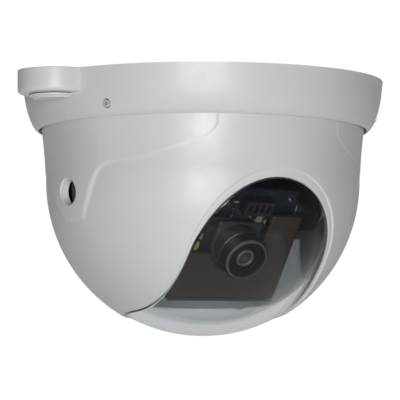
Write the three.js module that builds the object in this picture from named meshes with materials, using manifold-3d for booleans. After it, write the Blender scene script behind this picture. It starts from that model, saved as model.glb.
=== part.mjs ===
// A ceiling dome camera: white skirt ring and dome cover with an arched window, a clear bubble behind it,
// and a camera module on a pan and tilt gimbal inside. Millimetres, +Z up. The ceiling is the plane z = 0,
// everything hangs below it, and the window looks along -Y.
import * as THREE from "three";
import { mergeVertices } from "three/addons/utils/BufferGeometryUtils.js";
import Module from "manifold-3d";

const wasm = await Module();
wasm.setup();

// ---------------------------------------------------------------- driving dimensions
const GAP = 0.3; // between pieces that touch
const TURN = 2 * Math.PI;
const ROUND = 40; // facets round the large turned pieces

// The dome is a sphere that becomes a slightly tapered wall above its centre.
const DOME_Z = -31.8; // height of the sphere's centre
const DOME_R = 50; // outside of the white cover
const COVER_WALL = 2.1;
const NECK_R = 51; // outside of the wall where it leaves the skirt
const NECK_Z = -17.5;

// Skirt ring that the ceiling end of the cover turns in.
const SKIRT_R = 57.5;
const SKIRT_BORE = 53.6;
const LIP_BORE = 52.3;
const LIP_TOP = -14.2;
const SKIRT_BOTTOM = -15.7;
const SKIRT_DRAFT_R = 56.7; // radius where the straight draft ends and the rounding begins
const SKIRT_DRAFT_Z = -6.5;
const LUG_R = 11.8; // round boss on the rim that covers the side cable entry
const LUG_DEPTH = 7.6;
const LUG_AXIS_R = 57.4;
const LUG_ANGLE = -86;
const ENTRY_STEM_R = 62.6; // the plug's stem sits outside the skirt wall
const SET_SCREW_ANGLES = [-64.6, 55.4, 175.4];
const SET_SCREW_Z = -12;

// Back plate that is screwed to the ceiling.
const PLATE_R = 53.3;
const PLATE_T = 2.6;
const PLATE_SCREW_ANGLES = [-5, 115, 235];
const PLATE_SCREW_R = 48.6;
const BOSS_R = 9;
const BOSS_BOTTOM = -6;
const CABLE_HOLE_R = 7;
const CABLE_HOLE_Y = 26;
const SLOT_PITCH = 70; // between the two keyholes for the ceiling screws

// Window: an arch cut straight through the front, ending in a round hole at the bottom.
const OPEN_HALF = 24.8; // half width of the opening
const ARCH_Z = DOME_Z - 28; // centre of the arch
const LEDGE = 0.9; // width of the step at the sides of the opening
const LEDGE_RISE = 1.9; // how much further up it reaches, which makes it wider at the top
const PANE_R = 49.3; // outside of the bubble where it fills the window
const LEDGE_R = 49.4; // the step's level
const SIDE_HOLE_R = 4.1;
const SIDE_HOLE_REBATE_R = 4.9;

// Clear bubble and the liner that clamps it.
const BUBBLE_R = 47.5;
const BUBBLE_IN = 45.8;
const BUBBLE_HOLE_R = 6.2; // wider than the cover's, so that a tool never rests on it
const LINER_R = 45.1;
const LINER_IN = 44.3;
const LINER_HALF = 26; // half width of its opening
const LINER_SHOULDER = DOME_Z - 16; // below this only a tongue is left at each side
const TONGUE_ANGLE = 31; // the tongue's rear edge lies in a plane turned this far from the YZ plane
const TONGUE_PLANE = 32.4; // and this far from the axis
const FLANGE_R = 48.9;

// Gimbal.
const PIVOT_Z = DOME_Z - 6.4; // tilt axis, in line with the side holes
const TURNTABLE_R = 30;
const TURNTABLE_Z = -6.3; // top face
const TURNTABLE_T = 2.3;
const YOKE_TOP = -8.9;
const YOKE_T = 2;
const ARM_IN = 33;
const ARM_T = 2.2;
const ARM_HALF = 16;
const ARM_BOTTOM = DOME_Z - 14.7;
const ARM_CORNER = 7.5;

// Camera module, in its own frame: the tilt axis is X through the origin, the lens looks along -Y.
const REST_TILT = 38; // degrees below level
const HEAD_ROLL = -1.4; // the boards sit slightly turned about the lens in the cradle's holes
const LENS_FRONT = -33.9;
const MASK_FRONT = -26.9;
const MASK_T = 1.8;
const MASK_HALF = 19.5;
const MASK_LOW = -19.5;
const MASK_HIGH = -2.6;
const MASK_SIDE = 12; // the mask runs up to here beside the lens, on +X
const BOARD_FRONT = -22.5;
const BOARD_T = 1.6;
const BOARD_HALF = 19;
const POWER_FRONT = -13.3;
const STANDOFF_AT = 15.8;
const CRADLE_FRONT = -11.4;
const CRADLE_T = 2.5;
const CRADLE_HALF = 19.5;
const CHEEK_IN = 17.5;
const TRUNNION_END = 31.6;
const THREAD_R = 6;
const HEAD_R = 7.5;
const HEAD_BACK = -29.7;
const THREAD_END = -25.7;

// ---------------------------------------------------------------- materials
const paint = (color, roughness, metalness = 0) =>
  new THREE.MeshStandardMaterial({ color, roughness, metalness });
const WHITE = paint(0xd8d8d6, 0.42);
const CLEAR = paint(0xc4ccd0, 0.05);
CLEAR.transparent = true;
CLEAR.opacity = 0.3;
const GREY = paint(0x6f7376, 0.6);
const BLACK = paint(0x1c1b1d, 0.4);
const BOARD = paint(0x10181c, 0.45);
const SENSOR = paint(0x24282e, 0.2);
const STEEL = paint(0xb4b4b6, 0.3, 1);
const BRASS = paint(0xc79a4e, 0.3, 1);
const RUBBER = paint(0x26272a, 0.8);
const LENS_BLACK = paint(0x141416, 0.3);
const GLASS = paint(0x30363c, 0.03);
const NYLON = paint(0x2a2a2c, 0.5);

const rad = THREE.MathUtils.degToRad;

// ---------------------------------------------------------------- solids
// A closed three.js geometry as a manifold-3d solid.
function solid(geometry) {
  const bare = geometry.index ? geometry.toNonIndexed() : geometry.clone();
  bare.deleteAttribute("normal");
  bare.deleteAttribute("uv");
  const merged = mergeVertices(bare, 1e-4);
  const corners = merged.index.array;
  const kept = [];
  for (let i = 0; i < corners.length; i += 3) {
    const [a, b, c] = corners.slice(i, i + 3);
    if (a !== b && b !== c && c !== a) kept.push(a, b, c);
  }
  const shape = new wasm.Mesh({
    numProp: 3,
    vertProperties: merged.attributes.position.array,
    triVerts: new Uint32Array(kept),
  });
  return new wasm.Manifold(shape);
}

// A manifold-3d solid as a three.js geometry.
function geometryOf(made) {
  const shape = made.getMesh();
  const geometry = new THREE.BufferGeometry();
  geometry.setAttribute("position", new THREE.BufferAttribute(new Float32Array(shape.vertProperties), 3));
  geometry.setIndex(new THREE.BufferAttribute(new Uint32Array(shape.triVerts), 1));
  geometry.computeVertexNormals();
  return geometry;
}

const join = (...solids) => solids.reduce((sum, piece) => sum.add(piece));
const cut = (body, ...tools) => tools.reduce((left, tool) => left.subtract(tool), body);

// A box given by its low and high corners.
function box(low, high) {
  const size = high.map((value, i) => value - low[i]);
  const middle = high.map((value, i) => (value + low[i]) / 2);
  return solid(new THREE.BoxGeometry(...size).translate(...middle));
}

// A profile of [radius, height] points turned about Z. A profile off the axis closes on itself.
function turned(profile, facets = ROUND) {
  const points = profile.map(([r, z]) => new THREE.Vector2(r, z));
  if (THREE.ShapeUtils.area(points) < 0) points.reverse();
  const onAxis = points[0].x === 0 && points.at(-1).x === 0;
  if (!onAxis) points.push(points[0].clone());
  return solid(new THREE.LatheGeometry(points, facets, 0, TURN).rotateX(Math.PI / 2));
}

// A cylinder or cone along Z between two heights.
function rod(radius, low, high, facets = 24, topRadius = radius) {
  const shape = new THREE.CylinderGeometry(topRadius, radius, high - low, facets);
  return solid(shape.rotateX(Math.PI / 2).translate(0, 0, (low + high) / 2));
}

// A tube along Z.
const tube = (outer, inner, low, high, facets = 24) =>
  turned([[inner, low], [outer, low], [outer, high], [inner, high]], facets);

// The same things along X and along Y, from the low coordinate to the high one.
const alongX = (made) => made.rotate([0, 90, 0]);
const alongY = (made) => made.rotate([-90, 0, 0]);

// Points of an arc of a circle about [0, centre], from one angle to another, in degrees from level.
function arc(radius, centre, from, to, steps) {
  const points = [];
  for (let i = 0; i <= steps; i++) {
    const angle = rad(from + ((to - from) * i) / steps);
    points.push([Math.max(0, radius * Math.cos(angle)), centre + radius * Math.sin(angle)]);
  }
  if (Math.abs(points.at(-1)[0]) < 1e-9) points.at(-1)[0] = 0;
  if (Math.abs(points[0][0]) < 1e-9) points[0][0] = 0;
  return points;
}

// A flat outline in the XY plane, pushed up from one height to another.
function plate(shape, low, high, steps = 8) {
  const options = { depth: high - low, bevelEnabled: false, curveSegments: steps };
  const geometry = new THREE.ExtrudeGeometry(shape, options);
  return solid(geometry.translate(0, 0, low));
}

// A rectangle with round corners as an outline.
function roundedRect(left, right, bottom, top, radius) {
  const shape = new THREE.Shape();
  shape.moveTo(left + radius, bottom);
  shape.lineTo(right - radius, bottom);
  shape.absarc(right - radius, bottom + radius, radius, -Math.PI / 2, 0);
  shape.lineTo(right, top - radius);
  shape.absarc(right - radius, top - radius, radius, 0, Math.PI / 2);
  shape.lineTo(left + radius, top);
  shape.absarc(left + radius, top - radius, radius, Math.PI / 2, Math.PI);
  shape.lineTo(left, bottom + radius);
  shape.absarc(left + radius, bottom + radius, radius, Math.PI, 1.5 * Math.PI);
  return shape;
}

// Turn about Z so that what lies on -Y goes to the given angle, in degrees, seen from above towards +X.
const toAngle = (made, degrees) => made.rotate([0, 0, degrees]);

const group = new THREE.Group();

// Name a piece, give it a material and hang it in a group.
function add(name, made, material, parent = group) {
  const mesh = new THREE.Mesh(geometryOf(made), material);
  mesh.name = name;
  parent.add(mesh);
  return mesh;
}

// ---------------------------------------------------------------- skirt ring and its screws
function skirtOutline() {
  const rounding = new THREE.QuadraticBezierCurve(
    new THREE.Vector2(SKIRT_DRAFT_R, SKIRT_DRAFT_Z),
    new THREE.Vector2(55.9, -12.6),
    new THREE.Vector2(LIP_BORE + 0.2, SKIRT_BOTTOM),
  );
  const curve = rounding.getPoints(6).map((p) => [p.x, p.y]);
  const bore = [[LIP_BORE, SKIRT_BOTTOM], [LIP_BORE, LIP_TOP], [SKIRT_BORE, LIP_TOP], [SKIRT_BORE, 0]];
  return [[SKIRT_R, 0], ...curve, ...bore];
}

function skirtRing() {
  let ring = turned(skirtOutline());
  const lugEdge = [[LUG_R, -6], [LUG_R - 0.5, -7.1], [LUG_R - 1.6, -LUG_DEPTH]];
  const lug = turned([[0, 0], [LUG_R, 0], ...lugEdge, [0, -LUG_DEPTH]], 32);
  const outside = lug.translate([0, -LUG_AXIS_R, 0]).subtract(rod(SKIRT_BORE + 1, -20, 1, ROUND));
  const stemHole = rod(3, -LUG_DEPTH - 1, -3.2, 16).translate([0, -ENTRY_STEM_R, 0]);
  ring = join(ring, toAngle(cut(outside, stemHole), LUG_ANGLE));
  ring = ring.subtract(toAngle(stemHole, LUG_ANGLE));
  for (const angle of PLATE_SCREW_ANGLES) {
    const post = rod(3.4, -9.6, -PLATE_T - GAP, 20).translate([0, -PLATE_SCREW_R, 0]);
    const web = box([-3.4, -SKIRT_BORE - 0.8, -9.6], [3.4, -PLATE_SCREW_R, -PLATE_T - GAP]);
    const pilot = rod(1.5, -9, 0, 12).translate([0, -PLATE_SCREW_R, 0]);
    ring = ring.add(toAngle(post.add(web).subtract(pilot), angle));
    ring = ring.subtract(toAngle(pilot, angle));
  }
  for (const angle of SET_SCREW_ANGLES) {
    const hole = alongY(rod(1.5, -60, -50, 16)).translate([0, 0, SET_SCREW_Z]);
    ring = ring.subtract(toAngle(hole, angle));
  }
  return ring;
}

// A grub screw in the skirt's wall, on the -Y side, with its socket outwards.
function setScrew() {
  const body = alongY(rod(1.2, -55.4, -53.2, 16));
  const socket = alongY(rod(0.65, -56, -54.2, 6));
  return body.subtract(socket).translate([0, 0, SET_SCREW_Z]);
}

// A screw with its head on top, standing on Z: head from headLow to headHigh, shank below.
function screw(headRadius, headLow, headHigh, shankRadius, shankEnd, slotDepth = 0.6) {
  const head = rod(headRadius, headLow, headHigh, 16);
  const shank = rod(shankRadius, shankEnd, headLow + 0.1, 8);
  const reach = headRadius * 0.55;
  const slot = box([-reach, -0.35, headHigh - slotDepth], [reach, 0.35, headHigh + 1]);
  return cut(head.add(shank), slot, slot.rotate([0, 0, 90]));
}

function backPlate() {
  const disc = rod(PLATE_R, -PLATE_T, 0, ROUND);
  const boss = rod(BOSS_R, BOSS_BOTTOM, -PLATE_T + 0.1, 32);
  const spindleBore = rod(3.2, BOSS_BOTTOM - 1, -2.4, 20);
  const cableHole = rod(CABLE_HOLE_R, -PLATE_T - 1, 1, 28).translate([0, CABLE_HOLE_Y, 0]);
  let made = disc.add(boss).subtract(spindleBore).subtract(cableHole);
  for (const side of [-1, 1]) {
    const entry = rod(4.2, -PLATE_T - 1, 1, 24);
    const neck = box([-2.4, 0, -PLATE_T - 1], [2.4, 9, 1]);
    const end = rod(2.4, -PLATE_T - 1, 1, 16).translate([0, 9, 0]);
    made = made.subtract(join(entry, neck, end).translate([(side * SLOT_PITCH) / 2, -4, 0]));
  }
  for (const angle of PLATE_SCREW_ANGLES) {
    const hole = rod(1.9, -PLATE_T - 1, 1, 16);
    const sink = rod(3.4, -1.3, 1, 20);
    made = made.subtract(toAngle(hole.add(sink).translate([0, -PLATE_SCREW_R, 0]), angle));
  }
  return made;
}

function entryPlug() {
  const cap = rod(8.2, -LUG_DEPTH - 1.6, -LUG_DEPTH - GAP, 28).translate([0, -LUG_AXIS_R, 0]);
  const stem = rod(2.7, -LUG_DEPTH - 1, -3.5, 16).translate([0, -ENTRY_STEM_R, 0]);
  const clearOfSkirt = rod(SKIRT_R - 0.4, -20, 0, ROUND);
  return toAngle(cap.subtract(clearOfSkirt).add(stem), LUG_ANGLE);
}

add("skirt_ring", skirtRing(), WHITE);
add("back_plate", backPlate(), WHITE);
add("entry_plug", entryPlug(), WHITE);
PLATE_SCREW_ANGLES.forEach((angle, i) => {
  const made = screw(3, -1, -0.1, 1.2, -8.6).translate([0, -PLATE_SCREW_R, 0]);
  add(`plate_screw_${i + 1}`, toAngle(made, angle), STEEL);
});
SET_SCREW_ANGLES.forEach((angle, i) => add(`set_screw_${i + 1}`, toAngle(setScrew(), angle), STEEL));

// Rubber grommet in the cable hole: a neck in the plate and a flange on each side but the ceiling's.
const GROMMET_BORE = 4.4;
const grommet = tube(CABLE_HOLE_R - GAP, GROMMET_BORE, -4.6, -0.3, 24).add(
  tube(CABLE_HOLE_R + 1.6, GROMMET_BORE, -4.6, -PLATE_T - GAP, 24),
);
add("cable_grommet", grommet.translate([0, CABLE_HOLE_Y, 0]), RUBBER);

// Pan pivot: a shoulder screw up into the boss, with a spring washer under the turntable.
const TURNTABLE_BOTTOM = TURNTABLE_Z - TURNTABLE_T;
const panWasher = tube(7.6, 3.3, TURNTABLE_BOTTOM - GAP - 0.9, TURNTABLE_BOTTOM - GAP, 24);
const PAN_HEAD_TOP = TURNTABLE_BOTTOM - 2 * GAP - 0.9;
const panScrew = screw(5, -PAN_HEAD_TOP, -PAN_HEAD_TOP + 2.2, 2.8, 2.8, 1).rotate([180, 0, 0]);
add("pan_washer", panWasher, STEEL);
add("pan_screw", panScrew, STEEL);

// ---------------------------------------------------------------- cover, bubble and liner
const SPHERE_STEPS = 8;

// The window's outline grown by a margin, as a solid from the front to the axis, open downwards.
// A rise lifts its arch, which widens the margin at the top only.
function windowTool(margin, rise = 0) {
  const half = OPEN_HALF + margin;
  const outline = new THREE.Shape();
  outline.moveTo(-half, -100);
  outline.lineTo(half, -100);
  outline.lineTo(half, ARCH_Z + rise);
  outline.absarc(0, ARCH_Z + rise, half, 0, Math.PI);
  outline.lineTo(-half, -100);
  const depth = 70;
  const geometry = new THREE.ExtrudeGeometry(outline, { depth, bevelEnabled: false, curveSegments: 16 });
  const arch = solid(geometry.rotateX(Math.PI / 2));
  const bottom = rod(half, -100, DOME_Z - 37, 40);
  return arch.add(bottom);
}

// A dome that is closed at the bottom: a wall outside and inside the given radii, with its own top.
const ball = (radius) => turned(arc(radius, DOME_Z, -90, 90, 2 * SPHERE_STEPS));

function sideHoles(radius, from, to) {
  const hole = alongX(rod(radius, from, to, 20)).translate([0, 0, PIVOT_Z]);
  return hole.add(hole.mirror([1, 0, 0]));
}

function domeCover() {
  const inner = DOME_R - COVER_WALL;
  const profile = [
    [FLANGE_R + GAP, -10.4],
    [53.2, -10.4],
    [53.2, LIP_TOP + GAP],
    [NECK_R + 0.2, LIP_TOP + GAP],
    [NECK_R, NECK_Z],
    ...arc(DOME_R, DOME_Z, 0, -90, SPHERE_STEPS),
    ...arc(inner, DOME_Z, -90, 0, SPHERE_STEPS),
    [inner + 0.4, LIP_TOP],
    [FLANGE_R + GAP, LIP_TOP],
  ];
  const poles = profile.filter(([r]) => r === 0);
  const wall = turnedThrough(profile, poles);
  const ledge = windowTool(LEDGE, LEDGE_RISE).subtract(ball(LEDGE_R));
  const rebates = sideHoles(SIDE_HOLE_REBATE_R, 49.2, 60);
  return cut(wall, windowTool(0), ledge, sideHoles(SIDE_HOLE_R, 40, 60), rebates);
}

// A wall whose outside and inside both reach the axis at the bottom: the outside solid less the inside one.
function turnedThrough(profile, poles) {
  const first = profile.indexOf(poles[0]);
  const second = profile.indexOf(poles[1]);
  const outer = profile.slice(0, first + 1);
  const inner = profile.slice(second);
  const top = outer[0][1];
  const outside = turned([[0, top], ...outer]);
  const inside = turned([...inner, [inner.at(-1)[0], top + 5], [0, top + 5]]);
  return outside.subtract(inside);
}

function clearBubble() {
  const flangeTop = LIP_TOP + GAP + 1.5;
  const outer = [
    [0, flangeTop],
    [FLANGE_R, flangeTop],
    [FLANGE_R, LIP_TOP + GAP],
    [BUBBLE_R + 0.1, LIP_TOP + GAP],
    ...arc(BUBBLE_R, DOME_Z, 0, -90, SPHERE_STEPS),
  ];
  const inner = [...arc(BUBBLE_IN, DOME_Z, -90, 0, SPHERE_STEPS), [BUBBLE_IN, 0], [0, 0]];
  const pane = windowTool(-GAP).intersect(ball(PANE_R)).subtract(ball(BUBBLE_R - 0.8));
  const wall = turned(outer).subtract(turned(inner));
  return cut(wall.add(pane), sideHoles(BUBBLE_HOLE_R, 40, 60));
}

// The space between the liner's two side tongues, below its shoulder.
function tongueGap() {
  const turn = rad(TONGUE_ANGLE);
  const halfAt = (y) => (TONGUE_PLANE + Math.sin(turn) * y) / Math.cos(turn);
  const outline = new THREE.Shape();
  outline.moveTo(-halfAt(-60), -60);
  outline.lineTo(halfAt(-60), -60);
  outline.lineTo(halfAt(60), 60);
  outline.lineTo(-halfAt(60), 60);
  return plate(outline, -100, LINER_SHOULDER);
}

function innerLiner() {
  const top = LIP_TOP + 2 * GAP + 1.5;
  const outer = [
    [0, top + 1.6],
    [FLANGE_R, top + 1.6],
    [FLANGE_R, top],
    [LINER_R, top],
    ...arc(LINER_R, DOME_Z, 0, -90, SPHERE_STEPS),
  ];
  const inner = [...arc(LINER_IN, DOME_Z, -90, 0, SPHERE_STEPS), [LINER_IN, 0], [0, 0]];
  const wall = turned(outer).subtract(turned(inner));
  return cut(wall, tongueGap(), windowTool(LINER_HALF - OPEN_HALF), sideHoles(BUBBLE_HOLE_R, 40, 60));
}

add("dome_cover", domeCover(), WHITE);
add("clear_bubble", clearBubble(), CLEAR);
add("inner_liner", innerLiner(), GREY);

// ---------------------------------------------------------------- gimbal: turntable and yoke
const YOKE_SCREW_X = 24;

function turntable() {
  const disc = rod(TURNTABLE_R, TURNTABLE_BOTTOM, TURNTABLE_Z, 40);
  const holes = [rod(3.2, -20, 0, 20), rod(5, -20, 0, 20).translate([0, 21, 0])];
  for (const side of [-1, 1]) holes.push(rod(1.3, -20, -7.2, 12).translate([side * YOKE_SCREW_X, 0, 0]));
  return cut(disc, ...holes);
}

// The arm's outline in the YZ plane: square at the top, round corners at the bottom.
function arm() {
  const outline = new THREE.Shape();
  outline.moveTo(-ARM_HALF, YOKE_TOP);
  outline.lineTo(-ARM_HALF, ARM_BOTTOM + ARM_CORNER);
  outline.absarc(-ARM_HALF + ARM_CORNER, ARM_BOTTOM + ARM_CORNER, ARM_CORNER, Math.PI, 1.5 * Math.PI);
  outline.lineTo(ARM_HALF - ARM_CORNER, ARM_BOTTOM);
  outline.absarc(ARM_HALF - ARM_CORNER, ARM_BOTTOM + ARM_CORNER, ARM_CORNER, -Math.PI / 2, 0);
  outline.lineTo(ARM_HALF, YOKE_TOP);
  const options = { depth: ARM_T, bevelEnabled: false, curveSegments: 6 };
  const geometry = new THREE.ExtrudeGeometry(outline, options);
  return solid(geometry.rotateX(Math.PI / 2).rotateZ(Math.PI / 2).translate(ARM_IN, 0, 0));
}

function yoke() {
  const reach = ARM_IN + ARM_T;
  const bridge = box([-reach, -ARM_HALF, YOKE_TOP - YOKE_T], [reach, ARM_HALF, YOKE_TOP]);
  const arms = arm().add(arm().mirror([1, 0, 0]));
  const centre = rod(10, -20, 0, 32);
  const pivots = alongX(rod(2.2, -50, 50, 20)).translate([0, 0, PIVOT_Z]);
  const screwHoles = [-1, 1].map((side) => rod(1.9, -20, 0, 16).translate([side * YOKE_SCREW_X, 0, 0]));
  return cut(bridge.add(arms), centre, pivots, ...screwHoles);
}

add("turntable", turntable(), BLACK);
add("yoke", yoke(), BLACK);
[-1, 1].forEach((side, i) => {
  const low = YOKE_TOP - YOKE_T - GAP;
  const made = screw(3, -low, -low + 1.6, 1, 7.6).rotate([180, 0, 0]).translate([side * YOKE_SCREW_X, 0, 0]);
  add(`yoke_screw_${i + 1}`, made, STEEL);
});

// ---------------------------------------------------------------- camera module on the tilt axis
const module = new THREE.Group();
module.position.set(0, 0, PIVOT_Z);
module.rotation.x = rad(REST_TILT);
group.add(module);
const head = new THREE.Group();
head.rotation.y = rad(HEAD_ROLL);
module.add(head);

// An outline drawn in X and Z, standing as a plate between two depths along Y.
function upright(outline, front, back, steps = 6) {
  const made = plate(outline, 0, back - front, steps);
  return made.rotate([90, 0, 0]).translate([0, back, 0]);
}

const corners = [[-1, -1], [1, -1], [1, 1], [-1, 1]].map(([x, z]) => [x * STANDOFF_AT, z * STANDOFF_AT]);
const CORNER_HOLE = 1.6;

function cradle() {
  const back = CRADLE_FRONT + CRADLE_T;
  const outline = roundedRect(-CRADLE_HALF, CRADLE_HALF, -CRADLE_HALF, CRADLE_HALF, 3);
  const frame = upright(outline, CRADLE_FRONT, back);
  const opening = box([-12, CRADLE_FRONT - 1, -12], [12, back + 1, 12]);
  const holes = corners.map(([x, z]) => alongY(rod(CORNER_HOLE, -50, 50, 12)).translate([x, 0, z]));
  let made = cut(frame, opening, ...holes.map((hole) => hole.rotate([0, HEAD_ROLL, 0])));
  for (const side of [-1, 1]) {
    const cheek = box([CHEEK_IN, back - 0.5, -6], [CRADLE_HALF, 5.5, 6]);
    const trunnion = alongX(rod(5, CHEEK_IN, TRUNNION_END, 24));
    const bore = alongX(rod(2, 24, 40, 16));
    const half = cheek.add(trunnion).subtract(bore);
    made = made.add(side > 0 ? half : half.mirror([1, 0, 0]));
  }
  return made;
}

function boardShape(front, half) {
  const board = upright(roundedRect(-half, half, -half, half, 1.5), front, front + BOARD_T, 3);
  return cut(board, ...corners.map(([x, z]) => alongY(rod(CORNER_HOLE, -50, 50, 12)).translate([x, 0, z])));
}

function frontMask() {
  const outline = roundedRect(-MASK_HALF, MASK_HALF, MASK_LOW, MASK_HIGH, 1.2);
  const column = roundedRect(9, MASK_HALF, MASK_LOW, MASK_SIDE, 1.2);
  const sheet = join(...[outline, column].map((shape) => upright(shape, MASK_FRONT, MASK_FRONT + MASK_T)));
  const lensCut = alongY(rod(8.4, -50, 0, 32));
  const feet = [-1, 1].map((side) => {
    const foot = alongY(rod(2.6, MASK_FRONT + MASK_T - 0.1, BOARD_FRONT - GAP, 16));
    return foot.translate([side * STANDOFF_AT, 0, -STANDOFF_AT]);
  });
  const pilots = [-1, 1].map((side) => {
    const pilot = alongY(rod(1.1, MASK_FRONT + 0.8, 0, 12));
    return pilot.translate([side * STANDOFF_AT, 0, -STANDOFF_AT]);
  });
  return cut(join(sheet, ...feet), lensCut, ...pilots);
}

function lensHolder() {
  const baseFront = MASK_FRONT + MASK_T + GAP;
  const base = box([-8, baseFront, -8], [8, BOARD_FRONT - GAP, 8]);
  const barrel = alongY(rod(7.4, HEAD_BACK + GAP, BOARD_FRONT - GAP, 32));
  const bore = alongY(rod(THREAD_R + GAP, -50, -25.5, 32));
  const cavity = box([-6.2, -26, -6.2], [6.2, -20, 6.2]);
  return cut(base.add(barrel), bore, cavity);
}

add("tilt_cradle", cradle(), BLACK, module);
add("front_mask", frontMask(), BLACK, head);
add("sensor_board", boardShape(BOARD_FRONT, BOARD_HALF), BOARD, head);
add("power_board", boardShape(POWER_FRONT, BOARD_HALF - 0.5), BOARD, head);
add("image_sensor", box([-5, BOARD_FRONT - GAP - 1.6, -4.6], [5, BOARD_FRONT - GAP, 4.6]), SENSOR, head);
add("lens_holder", lensHolder(), BLACK, head);

// Brass spacers between the two boards, and long screws through the cradle and both boards.
corners.forEach(([x, z], i) => {
  const spacer = alongY(tube(2.4, 1.5, BOARD_FRONT + BOARD_T + GAP, POWER_FRONT - GAP, 6));
  add(`spacer_${i + 1}`, spacer.translate([x, 0, z]), BRASS, head);
  const end = z < 0 ? MASK_FRONT + 1.1 : BOARD_FRONT - 0.6;
  const seat = CRADLE_FRONT + CRADLE_T + GAP;
  const bolt = alongY(screw(2.8, seat, seat + 1.7, 0.8, end)).translate([x, 0, z]);
  add(`module_screw_${i + 1}`, bolt, STEEL, head);
});

// A brass nut on a stud beside the lens, just above the mask.
const nut = alongY(rod(2.4, MASK_FRONT + 0.4, BOARD_FRONT - GAP, 6));
add("board_nut", nut.translate([-15.8, 0, 0]), BRASS, head);

// Wire connector at the top of the sensor board.
const connector = box([-1.5, BOARD_FRONT - GAP - 3.4, 11.4], [8.5, BOARD_FRONT - GAP, 16.4]);
const sockets = [0, 1, 2, 3].map((n) => box([-0.5 + 2.2 * n, -60, 12.6], [0.9 + 2.2 * n, -24.7, 15.2]));
add("wire_connector", cut(connector, ...sockets), NYLON, head);

// Tilt screws through the yoke's arms into the trunnions, with friction washers.
[-1, 1].forEach((side) => {
  const where = side < 0 ? "left" : "right";
  const flip = (made) => (side < 0 ? made.mirror([1, 0, 0]) : made);
  const washer = alongX(tube(4.6, 2.1, TRUNNION_END + GAP, ARM_IN - GAP, 20));
  const headLow = ARM_IN + ARM_T + GAP;
  const bolt = alongX(screw(3.6, headLow, headLow + 2.6, 1.7, 24.6, 1.2));
  add(`tilt_washer_${where}`, flip(washer), STEEL, module);
  add(`tilt_screw_${where}`, flip(bolt), STEEL, module);
});

// ---------------------------------------------------------------- lens, screwed into its holder
function lensBarrel() {
  const profile = [
    [0, THREAD_END],
    [THREAD_R, THREAD_END],
    [THREAD_R, HEAD_BACK + 0.1],
    [HEAD_R, HEAD_BACK],
    [HEAD_R, LENS_FRONT + 0.4],
    [HEAD_R - 0.4, LENS_FRONT],
    [HEAD_R - 0.9, LENS_FRONT],
    [4.6, LENS_FRONT + 1.9],
    [4.6, LENS_FRONT + 2.6],
    [2.6, LENS_FRONT + 2.6],
    [2.6, LENS_FRONT + 3.8],
    [0, LENS_FRONT + 3.8],
  ];
  return alongY(turned(profile, 36));
}

const glassFace = arc(6.2, LENS_FRONT + 7.2, -90, -60, 3);
const glassBack = [[2.3, LENS_FRONT + 3.5], [0, LENS_FRONT + 3.5]];
const frontGlass = turned([...glassFace.map(([r, y]) => [Math.min(r, 2.9), y]), ...glassBack], 24);
const retainer = tube(4.3, 3.2, LENS_FRONT + 1.5, LENS_FRONT + 2.3, 28);

add("lens_barrel", lensBarrel(), LENS_BLACK, head);
add("lens_glass", alongY(frontGlass), GLASS, head);
add("lens_retainer", alongY(retainer), LENS_BLACK, head);

export default group;
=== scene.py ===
"""Looks of the ceiling dome camera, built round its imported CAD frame.

Shapes are in millimetres, in the row frame: the ceiling is the plane z = 0, the camera hangs below it, and
the window looks along -Y. Blender's own values, such as places of lamps and the camera, are in metres.
"""

import math

import bmesh
import bpy
import numpy as np
from mathutils import Matrix, Vector


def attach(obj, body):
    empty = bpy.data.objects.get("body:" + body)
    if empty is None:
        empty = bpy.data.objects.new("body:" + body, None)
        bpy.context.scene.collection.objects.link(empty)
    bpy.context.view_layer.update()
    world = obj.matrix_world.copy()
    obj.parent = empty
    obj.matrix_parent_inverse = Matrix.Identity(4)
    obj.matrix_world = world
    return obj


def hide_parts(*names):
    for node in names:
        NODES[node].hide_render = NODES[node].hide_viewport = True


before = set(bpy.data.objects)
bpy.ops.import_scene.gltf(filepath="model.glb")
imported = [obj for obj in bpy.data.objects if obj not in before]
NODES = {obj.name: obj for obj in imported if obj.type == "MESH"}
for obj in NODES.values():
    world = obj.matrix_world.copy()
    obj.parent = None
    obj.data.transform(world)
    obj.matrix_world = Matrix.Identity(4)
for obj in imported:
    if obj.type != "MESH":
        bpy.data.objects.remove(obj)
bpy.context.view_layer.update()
MM = 0.001

# ------------------------------------------------------------------ the CAD's driving dimensions
# Dome, window and bubble. A depth is measured inwards from the dome's outside.
DOME_Z = -31.8
DOME_R = 50.0
COVER_WALL = 2.1
WALL_RISE = 18.0  # how far the wall goes on above the dome's equator
FLARE = 14.3  # the wall above the equator widens as (rise / FLARE) to the power below
FLARE_POWER = 1.7
OPEN_HALF = 24.8  # half the window's width, and the radius of the hole at the bottom
ARCH_Z = DOME_Z - 28.0
LEDGE = 0.9  # the step round the window, and how much wider it is above the arch
LEDGE_RISE = 1.9
LEDGE_DEPTH = 0.6
PANE_DEPTH = 0.7
BUBBLE_DEPTH = 2.5
BUBBLE_IN_DEPTH = 4.2
LINER_R = 45.1
LINER_WALL = 0.8
LINER_GAP = 1.2  # the liner stands back from the opening by this
TONGUE_SLANT = 31.0
TONGUE_REACH = 32.4
SIDE_HOLE_R = 4.1
SIDE_REBATE_R = 4.85
INNER_HOLE_R = 6.2  # the holes behind the side holes, in the bubble and the liner

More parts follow.
